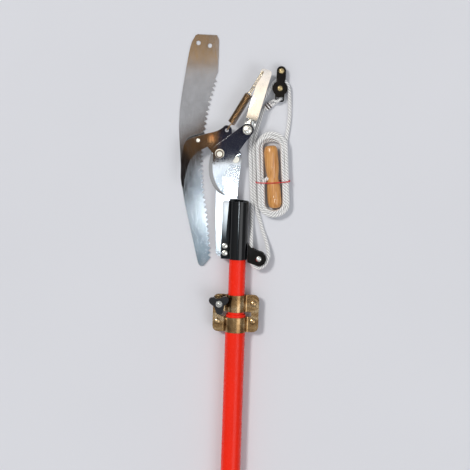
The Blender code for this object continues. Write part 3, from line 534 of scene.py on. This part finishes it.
def make_cutting_blade():
    """The arm and blade as one plate, thinner along the ground edge."""
    edge = [(-44.3, 146.0), (-46.6, 134.0), (-47.3, 121.5), (-44.8, 106.5), (-37.3, 92.0), (-29.0, 84.6), (-21.6, 80.6)]
    edge = flat(edge, 5)
    grind = []
    count = len(edge) - 1
    for i, point in enumerate(edge):
        ahead = (edge[min(i + 1, count)] - edge[max(i - 1, 0)]).normalized()
        inward = Vector((-ahead.y, ahead.x))
        depth = GRIND_DEPTH * math.sin(math.pi * min(1.0, 0.06 + 0.94 * i / count)) ** 0.5
        grind.append(point + inward * max(LEAST_GRIND, depth))
    back = flat([(-20.8, 82.4), (-23.6, 91.0), (-26.6, 100.0), (-26.0, 110.5), (-18.8, 123.9)])
    outline = [
        *arc(LEVER_PIN, 9.6, -40, 132, 16),
        *arc(PIVOT, 12.3, 126, 165, 6),
        *grind,
        *back,
        *flat([(-10.5, 137.0), (-4.6, 146.9), (5.0, 161.5)]),
    ]
    holes = [arc(PIVOT, PIVOT_HOLE_R, 0, 360, 28)[:-1], arc(LEVER_PIN, PIN_HOLE_R, 0, 360, 28)[:-1]]
    curve = bpy.data.curves.new("plate", "CURVE")
    curve.dimensions = "2D"
    curve.fill_mode = "BOTH"
    curve.extrude = (BLADE_HIGH - BLADE_LOW) / 2 * MM
    for loop in (outline, *holes):
        spline = curve.splines.new("POLY")
        spline.points.add(len(loop) - 1)
        spline.use_cyclic_u = True
        for point, spot in zip(spline.points, loop):
            point.co = (*(place(spot.x, spot.y).xy), 0, 1)
    holder = bpy.data.objects.new("plate", curve)
    bpy.context.scene.collection.objects.link(holder)
    graph = bpy.context.evaluated_depsgraph_get()
    mesh = bpy.data.meshes.new_from_object(holder.evaluated_get(graph))
    bpy.data.objects.remove(holder, do_unlink=True)
    middle = (BLADE_LOW + BLADE_HIGH) / 2 * MM
    shape = bmesh.new()
    shape.from_mesh(mesh)
    bmesh.ops.translate(shape, verts=shape.verts, vec=(0, 0, middle))
    bmesh.ops.remove_doubles(shape, verts=shape.verts, dist=1e-5)
    # The wedge from the grind line to the edge is a shell of its own that sinks into the plate.
    rows = []
    for outer, inner in zip(edge, grind):
        sink = (inner - outer) * 0.06 + inner
        section = [
            (outer.x, outer.y, BLADE_LOW),
            (outer.x, outer.y, BLADE_LOW + EDGE_HEIGHT),
            (inner.x, inner.y, BLADE_HIGH),
            (sink.x, sink.y, BLADE_HIGH - 0.05),
            (sink.x, sink.y, BLADE_LOW),
        ]
        rows.append([shape.verts.new(place(*spot)) for spot in section])
    for row, after in zip(rows, rows[1:]):
        for i in range(len(row)):
            j = (i + 1) % len(row)
            shape.faces.new((row[i], row[j], after[j], after[i]))
    shape.faces.new(rows[0][::-1])
    shape.faces.new(rows[-1])
    bmesh.ops.recalc_face_normals(shape, faces=shape.faces)
    shape.to_mesh(mesh)
    shape.free()
    mesh.materials.clear()
    blade = link("cutting_blade_form", mesh, CHROME, "blade")
    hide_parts("cutting_blade")


make_cutting_blade()


# Return spring

SPRING_LOW = Vector((-22.2, 179.4, 0))
SPRING_TOP = Vector((27.0, 266.0, 0))
SPRING_Z = 24.5
COIL_START, COIL_END, COIL_R, COIL_TURNS = 13.0, 62.0, 5.1, 22
WIRE_R = 0.95
ROD_HALF, ROD_Z = 1.25, 28.7  # half the gap of the loop's two wires, and their height over the lever


def make_spring():
    along = (SPRING_TOP - SPRING_LOW).normalized()
    across = Vector((along.y, -along.x, 0))

    def spot(distance, side=0.0, z=SPRING_Z):
        point = SPRING_LOW + along * distance + across * side
        return Vector((point.x, point.y, z))

    hook = [spot(0, 0, 17.2), spot(0, 0, 20.0), spot(0.1, 0, 23.0), spot(1.6, 0, SPRING_Z + 0.1), spot(4.0), spot(9.0)]
    hook += [spot(11.4, 1.0), spot(12.4, 3.4, SPRING_Z - 0.6)]
    points = smooth(hook, 6)
    per_turn = 20
    for i in range(COIL_TURNS * per_turn + 1):
        angle = 2 * math.pi * i / per_turn
        distance = COIL_START + (COIL_END - COIL_START) * i / (COIL_TURNS * per_turn)
        points.append(spot(distance, COIL_R * math.cos(angle), SPRING_Z + COIL_R * math.sin(angle)))
    coil = rod("spring_coil_form", points, WIRE_R, SPRING_STEEL, None, 10)
    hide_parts("spring_coil")
    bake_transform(coil)

    length = (SPRING_TOP - SPRING_LOW).length
    half, top = ROD_HALF, ROD_Z
    line = [spot(COIL_END - 0.4, 3.6, SPRING_Z + 1.2), spot(COIL_END + 1.2, 2.4, SPRING_Z + 0.8)]
    line += [spot(COIL_END + 4, half, SPRING_Z), spot(COIL_END + 7, half, SPRING_Z + 0.3)]
    line += [spot(COIL_END + 12, half, SPRING_Z + 2.2), spot(COIL_END + 17, half, top), spot(length - 8, half, top)]
    line += [spot(length - 3, half, top), spot(length - 0.6, 0.9, top - 0.5), spot(length, 0.3, top - 2.2)]
    line += [spot(length + 0.1, 0, 24.4), spot(length - 0.5, -0.4, 22.9), spot(length - 3.0, -0.9, 22.8)]
    upper = rod("spring_rod_form", smooth(line, 6), WIRE_R, WIRE_STEEL, "spring_rod", 12)
    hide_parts("spring_rod")
    line = [spot(COIL_END - 1.0, -3.6, SPRING_Z - 1.2), spot(COIL_END + 1.6, -2.4, SPRING_Z - 0.4)]
    line += [spot(COIL_END + 4, -half, SPRING_Z), spot(COIL_END + 7, -half, SPRING_Z + 0.3)]
    line += [spot(COIL_END + 12, -half, SPRING_Z + 2.2), spot(COIL_END + 17, -half, top), spot(length - 8, -half, top)]
    line += [spot(length - 3, -half, top), spot(length - 0.4, -half, top - 0.2), spot(length + 1.6, -0.9, top)]
    line += [spot(length + 2.2, 0, top), spot(length + 1.6, 0.9, top), spot(length - 0.4, half, top)]
    rod("spring_loop", smooth(line, 6), WIRE_R, WIRE_STEEL, "spring_rod", 12)


make_spring()


# Rope: ferrule, both wheels, hank, toggle

ROPE_R = 2.9
ROPE_LIFT = 0.4
FERRULE = Vector((38.2, 215.9))
FERRULE_TURN = math.radians(42.0)
FERRULE_LENGTH = 10.4
FERRULE_Z, FERRULE_HALF_WIDTH, FERRULE_HALF_HEIGHT = 3.1, 5.25, 3.1
FERRULE_SIDES = 32
FERRULE_SQUARENESS = 0.62  # 1 would make its section an ellipse
GROOVE_ROWS = (3, 4, 5, 6, 8, 9, 10, 11)  # row 7 is the band between the two grooves


def ferrule_leg(end, side, far):
    along = Vector((math.cos(FERRULE_TURN), math.sin(FERRULE_TURN)))
    across = Vector((-along.y, along.x))
    spot = FERRULE + along * end * (FERRULE_LENGTH / 2 + far) + across * side
    return (spot.x, spot.y, FERRULE_Z)


OPEN_ROUTE = [
    ferrule_leg(-1, 0, -1.5),
    ferrule_leg(-1, 0, 0.3),
    ferrule_leg(-1, 0, 2.7),
    (29.3, 203.5, 2.7),
    (26.2, 193.0, 2.5),
    (22.6, 180.0, 2.5),
    (20.2, 165.0, 2.5),
    (19.1, 151.0, 2.5),
    (20.3, 135.0, 2.5),
    (21.5, 117.0, 2.5),
    (22.4, 98.0, 2.5),
    (23.9, 78.0, 2.5),
    (26.9, 60.0, 2.5),
    (31.6, 45.0, 2.7),
    (36.4, 29.0, 3.6),
    (41.8, 14.0, 6.8),
    (45.2, 1.5, 11.2),
    (45.6, -10.5, 15.2),
    (40.6, -21.8, 17.2),
    (31.0, -26.4, 17.5),
    (22.4, -21.4, 17.5),
    (19.6, -9.5, 17.5),
    (19.6, 1.0, 17.3),
    (19.6, 9.5, 16.0),
    (19.5, 20.0, 12.3),
    (19.4, 32.0, 7.3),
    (19.3, 45.0, 3.5),
    (19.3, 58.0, 2.5),
    (19.0, 74.0, 2.5),
    (17.3, 94.0, 2.5),
    (15.7, 117.0, 2.5),
    (14.3, 138.0, 2.5),
    (13.4, 152.0, 2.5),
    (14.5, 167.0, 2.5),
    (17.0, 181.5, 2.5),
    (21.4, 195.5, 2.5),
    (24.8, 206.5, 2.5),
    (27.2, 216.5, 2.6),
    (31.0, 226.5, 3.4),
    (36.6, 236.0, 5.2),
    (42.2, 244.5, 6.4),
    (46.9, 252.6, 6.4),
    (54.5, 256.4, 6.4),
    (62.2, 253.0, 6.4),
    (67.2, 244.5, 6.2),
    (69.2, 232.0, 4.4),
    (70.3, 218.0, 2.8),
    (70.6, 203.0, 2.5),
    (69.6, 188.0, 2.5),
    (67.6, 173.0, 2.6),
]

HANK = Vector((48.4, 114.9))
HANK_TURN = math.radians(4.0)
HALF = 41.0
OUTER, INNER = 21.0, 15.8
LAYERS = (3.2, 8.3, 13.4)
SWAY, OUTER_SHARE = 0.45, 0.4  # the runs wander this much, and the outer ones this part of it
END_U, END_V, END_R = -4.6, -16.0, 10.8  # the bend into the toggle's side


def hank_spot(u, v, z):
    x = HANK.x + u * math.cos(HANK_TURN) - v * math.sin(HANK_TURN)
    y = HANK.y + u * math.sin(HANK_TURN) + v * math.cos(HANK_TURN)
    return (x, y, z)


def hank_turns():
    """Points down the right side, round, up the left side and over, for each turn of the hank.

    Each row gives its right run, its left run, the right run after it, their layers and the height of its crown.
    """
    turns = [
        (OUTER, OUTER, INNER, 0, 0, 15.6),
        (INNER, INNER, INNER, 0, 1, 10.4),
        (INNER, INNER, OUTER, 1, 1, 15.4),
        (OUTER, OUTER, OUTER, 1, 2, 20.4),
        (OUTER, OUTER, INNER, 2, 2, 15.3),
        (INNER, INNER, None, 2, 2, 0.0),
    ]
    found = []
    for number, (right, left, onward, layer, after, crown) in enumerate(turns):
        z, z_after = LAYERS[layer], LAYERS[after]
        for v in (30.0, 18.0, 6.0, -6.0, -18.0, -30.0):
            sway = SWAY * math.sin(v / 15.0 + number * 1.9)
            found.append(hank_spot(right + sway * (OUTER_SHARE if right == OUTER else 1), v, z))
        for step in range(9):
            angle = -math.pi * step / 8
            radius = (right + left) / 2
            flatter = 1.0 + 0.06 * abs(math.sin(2 * angle))
            found.append(hank_spot(radius * math.cos(angle) * flatter, -HALF + radius * math.sin(angle), z))
        last = onward is None
        for v in (-30.0, -24.0) if last else (-30.0, -18.0, -6.0, 6.0, 18.0, 30.0):
            sway = SWAY * math.sin(v / 13.0 + number * 2.3)
            found.append(hank_spot(-left + sway * (OUTER_SHARE if left == OUTER else 1), v, z))
        if last:
            break
        middle, radius = (onward - left) / 2, (onward + left) / 2
        for step in range(9):
            angle = math.pi - math.pi * step / 8
            part = step / 8
            ease = part * part * (3 - 2 * part)
            height = z + (z_after - z) * ease
            found.append(hank_spot(middle + radius * math.cos(angle), HALF + crown * math.sin(angle), height))
    # The end turns into the toggle's side.
    for step in range(1, 7):
        angle = math.pi - math.pi / 2 * step / 6
        u, v = END_U + END_R * math.cos(angle), END_V + END_R * math.sin(angle)
        found.append(hank_spot(u, v, 14.1 - 0.5 * step))
    return found


route = [*OPEN_ROUTE, hank_spot(OUTER - 0.1, 42.0, 3.6), *hank_turns()]
route = [(x, y, z + ROPE_LIFT) for x, y, z in route]
rope, rope_path = laid_rope("pull_rope_form", route, ROPE_R, ROPE, "head")
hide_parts("pull_rope", "rope_hank")


def make_ferrule():
    """A flattened metal sleeve pressed in twice across its length, with painted shade on the faces in its two grooves.
    """
    half = FERRULE_LENGTH / 2
    along = Vector((math.cos(FERRULE_TURN), math.sin(FERRULE_TURN), 0))
    across = Vector((-along.y, along.x, 0))
    steps = [(-1.0, 0.8), (-0.96, 0.25), (-0.88, 0.0), (-0.62, 0.0), (-0.52, 0.55), (-0.40, 0.75), (-0.28, 0.55)]
    steps += [(-0.18, 0.0), (0.18, 0.0), (0.28, 0.55), (0.40, 0.75), (0.52, 0.55), (0.62, 0.0), (0.88, 0.0)]
    steps += [(0.96, 0.25), (1.0, 0.8)]
    rings = []
    for part, inset in steps:
        middle = Vector((FERRULE.x, FERRULE.y, FERRULE_Z)) + along * half * part
        ring = []
        for k in range(FERRULE_SIDES):
            angle = 2 * math.pi * k / FERRULE_SIDES
            c, n = math.cos(angle), math.sin(angle)
            wide = math.copysign(abs(c) ** FERRULE_SQUARENESS, c) * (FERRULE_HALF_WIDTH - inset)
            tall = math.copysign(abs(n) ** FERRULE_SQUARENESS, n) * (FERRULE_HALF_HEIGHT - inset)
            ring.append(middle + across * wide + Vector((0, 0, tall)))
        rings.append(ring)
    made = swept("rope_ferrule_form", rings, FERRULE_METAL, "head")
    # The faces in the groove rows take the near-black copy: painted shade in the grooves.
    made.data.materials.append(GROOVE_SHADE_METAL)
    for face in made.data.polygons:
        row = min(face.vertices) // FERRULE_SIDES
        face.material_index = 1 if len(face.vertices) == 4 and row in GROOVE_ROWS else 0
    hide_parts("rope_ferrule")
    return made


ferrule = make_ferrule()

EYE_R = 2.2
eye_route = [
    ferrule_leg(1, 2.6, -1.0),
    ferrule_leg(1, 2.6, 0.6),
    ferrule_leg(1, 2.6, 1.9),
    (45.2, 224.0, 6.6),
    (47.2, 224.1, 10.0),
    (50.4, 224.2, 10.8),
    (53.8, 225.6, 10.2),
    (56.0, 228.4, 6.4),
    (55.4, 227.0, 3.2),
    (52.6, 223.8, 2.4),
    (48.8, 220.9, 2.5),
    ferrule_leg(1, -2.6, 1.9),
    ferrule_leg(1, -2.6, 0.6),
    ferrule_leg(1, -2.6, -1.0),
]
eye, _ = laid_rope("becket_eye_form", eye_route, EYE_R, ROPE, "head", step=0.8)
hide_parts("becket_eye")

BLOCK_X, BLOCK_Y, BLOCK_Z, BECKET_Y = 54.5, 243.4, 6.4, 224.2
STAPLE_R = 1.3
reach = 5.7
staple_route = [
    (BLOCK_X - reach, BLOCK_Y - 10.6, BLOCK_Z),
    (BLOCK_X - reach, BECKET_Y + 3.4, BLOCK_Z),
    (BLOCK_X - reach + 0.2, BECKET_Y + 1.2, BLOCK_Z),
    (BLOCK_X - reach + 1.6, BECKET_Y, BLOCK_Z),
    (BLOCK_X, BECKET_Y, BLOCK_Z),
    (BLOCK_X + reach - 1.6, BECKET_Y, BLOCK_Z),
    (BLOCK_X + reach - 0.2, BECKET_Y + 1.2, BLOCK_Z),
    (BLOCK_X + reach, BECKET_Y + 3.4, BLOCK_Z),
    (BLOCK_X + reach, BLOCK_Y - 10.6, BLOCK_Z),
]
staple = rod("becket_staple_form", smooth(staple_route, 4), STAPLE_R, BLACK, "head", 14)
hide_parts("becket_staple")

TOGGLE = Vector((48.65, 111.1))
TOGGLE_R, WAIST_R, TOGGLE_LENGTH = 10.5, 8.6, 94.0
TOGGLE_SIDES, TOGGLE_RINGS = 40, 40
WAIST_AT = -2.0


def make_toggle():
    """A turned handle with a rounded waist and soft ends."""
    half = TOGGLE_LENGTH / 2
    profile = [(0.05, -half), (3.0, -half + 0.05), (5.6, -half + 0.3), (7.6, -half + 1.2), (8.9, -half + 2.9)]
    profile += [(9.7, -half + 5.4)]
    for i in range(TOGGLE_RINGS + 1):
        height = -half + 9 + (TOGGLE_LENGTH - 18) * i / TOGGLE_RINGS
        waist = math.exp(-(((height - WAIST_AT) / 11) ** 2))
        groove = 0.5 * math.exp(-(((height - WAIST_AT) / 2.2) ** 2))
        profile.append((TOGGLE_R - (TOGGLE_R - WAIST_R) * waist - groove, height))
    profile += [(9.7, half - 5.4), (8.9, half - 2.9), (7.6, half - 1.2), (5.6, half - 0.3), (3.0, half - 0.05)]
    profile += [(0.05, half)]
    along = Vector((-math.sin(TOGGLE_TURN), math.cos(TOGGLE_TURN), 0))
    across = Vector((math.cos(TOGGLE_TURN), math.sin(TOGGLE_TURN), 0))
    middle = Vector((TOGGLE.x, TOGGLE.y, TOGGLE_R))
    rings = [circle(middle + along * at, across, Vector((0, 0, 1)), radius, TOGGLE_SIDES) for radius, at in profile]
    made = swept("toggle_form", rings, WOOD, "head")
    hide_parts("toggle_handle")
    return made


toggle = make_toggle()


TIE_R, TIE_SAG, TIE_V = 0.75, 0.9, -11.0


def make_tie():
    """A red string round the hank and the toggle."""
    arch = [(-24.4, 1.6), (-25.3, 6.0), (-25.0, 14.0), (-24.0, 17.3), (-17.0, 18.9), (-9.0, 20.6), (0, 21.5)]
    arch += [(9.0, 20.6), (17.0, 18.9), (24.0, 17.3), (25.0, 14.0), (25.3, 6.0), (24.4, 1.6), (18.0, 0.62)]
    arch += [(0.0, 0.60), (-18.0, 0.62)]
    points = []
    for side, height in arch:
        sag = TIE_SAG * (1 - (side / 25.0) ** 2) if height > 16 else 0.0
        points.append(hank_spot(side, TIE_V - sag, height))
    loop = smooth([*points, points[0]], 6)[:-1]
    side = Vector((-math.sin(HANK_TURN), math.cos(HANK_TURN), 0))
    rings = []
    for i, point in enumerate(loop):
        ahead = (loop[(i + 1) % len(loop)] - loop[i - 1]).normalized()
        rings.append(circle(point, side, ahead.cross(side).normalized(), TIE_R, 10))
    made = swept("toggle_tie_form", rings, TIE, "head", closed=True)
    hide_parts("toggle_tie")
    return made


tie = make_tie()


# Two small pieces that the model doesn't have: the pivot nut's ring and a flush rivet in the hook's upper hole

NUT_RING_Z, NUT_RING_R, NUT_RING_BORE = 33.3, 5.9, 4.2
HOOK_HOLE = (-64.4, 163.0)


def turned(name, centre, profile, sides, material, closed=False):
    """A piece round an upright axis through a place on the head, from its radii and heights."""
    rings = []
    for radius, z in profile:
        rings.append(circle(Vector((*centre, z)), Vector((1, 0, 0)), Vector((0, 1, 0)), radius, sides))
    return swept(name, rings, material, "head", closed=closed)


rivet_profile = [(0.05, 20.0), (2.92, 20.0), (2.92, 22.6), (2.5, 23.0), (1.5, 23.2), (0.05, 23.25)]
turned("hook_rivet", HOOK_HOLE, rivet_profile, 24, RIVET_STEEL)

low, top = NUT_RING_Z, NUT_RING_Z + 1.1
ring_profile = [(NUT_RING_BORE, low), (NUT_RING_R, low), (NUT_RING_R, low + 0.7), (NUT_RING_R - 0.5, top)]
ring_profile += [(NUT_RING_BORE, top)]
turned("pivot_nut_ring", PIVOT, ring_profile, 28, INSERT, closed=True)


# Floor, sky, two suns, and the panels that the polished plates reflect

FLOOR_COLOUR = (0.72, 0.73, 0.77)
FLOOR_HALF = 8.0  # metres
FLOOR_DROP = 0.0006
SKY_LEVELS = ((0.0, 0.26), (1.0, 0.56), (0.45, 0.33), (0.80, 0.48))  # from the horizon at 0 to overhead at 1

# The panels are seen only as reflections. They are placed from the main camera's position, so what the plates show
# of them holds from there alone: it slides in other views, and the exported model has none of it. Each row holds the
# places on the tool where a level plate shows the panel's corners, the colours of its low and high end, and how
# cloudy it is. Of two panels in one place the plates show the lower one, which is listed first.
PLATE_LEVEL = 24.0
PANEL_HEIGHT, PANEL_STEP = 0.70, 0.001  # metres
PANELS = (
    (
        "orange_panel",
        [(-47, 162), (-43, 161), (-41, 168), (-44, 171), (-48, 168)],
        (1.6, 1.0, 0.45),
        (1.6, 0.45, 0.10),
        0.0,
    ),
    (
        "black_panel",
        [(-108, 72), (-68, 72), (-62, 104), (-69, 128), (-84, 148), (-108, 156)],
        (0.003, 0.003, 0.004),
        (0.018, 0.011, 0.007),
        0.0,
    ),
    (
        "brown_panel",
        [(-104, 76), (-78, 76), (-67, 108), (-49, 126), (-34, 131), (-34, 204), (-56, 193), (-72, 176), (-104, 164)],
        (0.002, 0.002, 0.003),
        (0.150, 0.080, 0.034),
        0.55,
    ),
    (
        "navy_panel",
        [(-34, 131), (-25, 133), (0, 140), (24, 156), (33, 181), (28, 199), (-18, 204), (-34, 204)],
        (0.030, 0.034, 0.060),
        (0.008, 0.008, 0.014),
        0.9,
    ),
    (
        "white_panel",
        [(-67, 76), (60, 76), (60, 131), (-67, 131)],
        (0.50, 0.66, 0.80),
        (1.30, 1.40, 1.50),
        0.9,
    ),
    (
        "plate_panel",
        [(-67, -30), (-25.5, -30), (-25.5, 76), (-67, 76)],
        (0.10, 0.20, 0.28),
        (1.05, 1.25, 1.38),
        0.25,
    ),
    ("flange_low", [(-25.5, 20), (4, 20), (4, 52), (-25.5, 52)], (0.1, 0.6, 0.9), (34.0, 38.0, 41.0), 0.0),
    ("flange_high", [(-25.5, 52), (4, 52), (4, 76), (-25.5, 76)], (34.0, 38.0, 41.0), (36.0, 38.0, 40.0), 0.0),
    ("cream_panel", [(0, 199), (60, 199), (60, 281), (0, 281)], (2.0, 1.7, 1.35), (0.95, 0.95, 1.0), 1.0),
    (
        "gold_panel",
        [(-130, 272), (-33, 272), (-33, 360), (-130, 360)],
        (0.62, 0.40, 0.20),
        (0.10, 0.050, 0.022),
        0.7,
    ),
    (
        "slate_panel",
        [(-130, -70), (-67, -70), (-67, 80), (-130, 80)],
        (0.10, 0.14, 0.18),
        (0.55, 0.63, 0.70),
        0.9,
    ),
)
STRIP_HALF, STRIP_HEIGHT, STRIP_SHIFT, STRIP_COLOUR = 11.0, 78.0, -3.0, (9.0, 8.6, 7.6)


def make_floor():
    mesh = bpy.data.meshes.new("floor")
    size = FLOOR_HALF
    mesh.from_pydata([(-size, -size, 0), (size, -size, 0), (size, size, 0), (-size, size, 0)], [], [(0, 1, 2, 3)])
    floor = bpy.data.objects.new("floor", mesh)
    bpy.context.scene.collection.objects.link(floor)
    floor.location.z = -FLOOR_DROP
    look = finish_of("floor", FLOOR_COLOUR, 0.6)
    colour_by(look, texture(look, (3, 3, 3), 3), shades(FLOOR_COLOUR, 0.985, 1.01))
    mesh.materials.append(look)


def make_sky():
    """A pale sky, brighter overhead than at the horizon."""
    world = bpy.data.worlds.new("world")
    world.use_nodes = True
    tree = world.node_tree
    background = tree.nodes["Background"]
    background.inputs["Strength"].default_value = 1.0
    where = tree.nodes.new("ShaderNodeTexCoord")
    parts = tree.nodes.new("ShaderNodeSeparateXYZ")
    tree.links.new(where.outputs["Generated"], parts.inputs["Vector"])
    stops = [(at, (level * 0.96, level * 0.97, level)) for at, level in SKY_LEVELS]
    tree.links.new(ramp(world, parts.outputs["Z"], stops), background.inputs["Color"])
    bpy.context.scene.world = world


def sun(name, spot, angle, power, colour):
    """A sun that shines from the direction of a spot, as wide as an angle in degrees."""
    data = bpy.data.lights.new(name, "SUN")
    data.angle = math.radians(angle)
    data.energy = power
    data.color = colour
    lamp = bpy.data.objects.new(name, data)
    bpy.context.scene.collection.objects.link(lamp)
    lamp.rotation_euler = (-Vector(spot)).to_track_quat("-Z", "Y").to_euler()


def clouded(tree, vector, level, mottle):
    """A level between 0 and 1 with soft clouds added."""
    cloud = tree.nodes.new("ShaderNodeTexNoise")
    cloud.inputs["Scale"].default_value = 7.0
    cloud.inputs["Detail"].default_value = 3.0
    cloud.inputs["Distortion"].default_value = 0.6
    tree.links.new(vector, cloud.inputs["Vector"])
    change = tree.nodes.new("ShaderNodeMath")
    change.operation = "MULTIPLY_ADD"
    change.inputs[1].default_value = 2.2 * mottle
    change.inputs[2].default_value = -1.1 * mottle
    tree.links.new(cloud.outputs["Fac"], change.inputs[0])
    total = tree.nodes.new("ShaderNodeMath")
    total.use_clamp = True
    tree.links.new(level, total.inputs[0])
    tree.links.new(change.outputs["Value"], total.inputs[1])
    return total.outputs["Value"]


def add_panel(name, spots, low_colour, high_colour, mottle):
    """A glowing panel that only reflections see, from one colour at its low end to another at its high end."""
    mesh = bpy.data.meshes.new(name)
    mesh.from_pydata([tuple(spot) for spot in spots], [], [tuple(range(len(spots)))])
    look = bpy.data.materials.new(name)
    look.use_nodes = True
    tree = look.node_tree
    tree.nodes.clear()
    out = tree.nodes.new("ShaderNodeOutputMaterial")
    glow = tree.nodes.new("ShaderNodeEmission")
    mix = tree.nodes.new("ShaderNodeMix")
    mix.data_type = "RGBA"
    where = tree.nodes.new("ShaderNodeTexCoord")
    parts = tree.nodes.new("ShaderNodeSeparateXYZ")
    tree.links.new(where.outputs["Generated"], parts.inputs["Vector"])
    level = parts.outputs["Y"]
    if mottle:
        level = clouded(tree, where.outputs["Generated"], level, mottle)
    tree.links.new(level, mix.inputs["Factor"])
    mix.inputs["A"].default_value = (*low_colour, 1)
    mix.inputs["B"].default_value = (*high_colour, 1)
    tree.links.new(mix.outputs["Result"], glow.inputs["Color"])
    tree.links.new(glow.outputs["Emission"], out.inputs["Surface"])
    mesh.materials.append(look)
    panel = bpy.data.objects.new(name, mesh)
    bpy.context.scene.collection.objects.link(panel)
    panel.visible_camera = False
    panel.visible_shadow = False
    panel.visible_diffuse = False


def add_plate_panels():
    """Each panel where its corners' rays from the main camera go after a level plate has mirrored them."""
    camera = bpy.context.scene.camera.location
    for number, (name, corners, low_colour, high_colour, mottle) in enumerate(PANELS):
        height = PANEL_HEIGHT + PANEL_STEP * number
        spots = []
        for x, y in corners:
            spot = place(x, y, PLATE_LEVEL)
            ray = spot - camera
            onward = (height - spot.z) / -ray.z
            spots.append((spot.x + ray.x * onward, spot.y + ray.y * onward, height))
        add_panel(name, spots, low_colour, high_colour, mottle)


def add_spring_strip():
    """A strip close over the return spring puts a bright line along its coils."""
    along = (SPRING_TOP - SPRING_LOW).normalized()
    across = Vector((along.y, -along.x, 0)) * STRIP_HALF
    spots = []
    for end, side in ((COIL_START, -1), (COIL_START, 1), (COIL_END, 1), (COIL_END, -1)):
        spot = SPRING_LOW + along * end + across * side
        spots.append(place(spot.x, spot.y + STRIP_SHIFT, STRIP_HEIGHT))
    add_panel("spring_strip", spots, STRIP_COLOUR, STRIP_COLOUR, 0.0)


make_floor()
make_sky()
sun("key", (-520, 460, 1100), 10.0, 1.45, (1.0, 0.98, 0.95))
sun("fill", (800, -400, 1300), 34.0, 0.50, (0.95, 0.97, 1.0))
add_plate_panels()
add_spring_strip()
bpy.context.scene.view_settings.view_transform = "Standard"
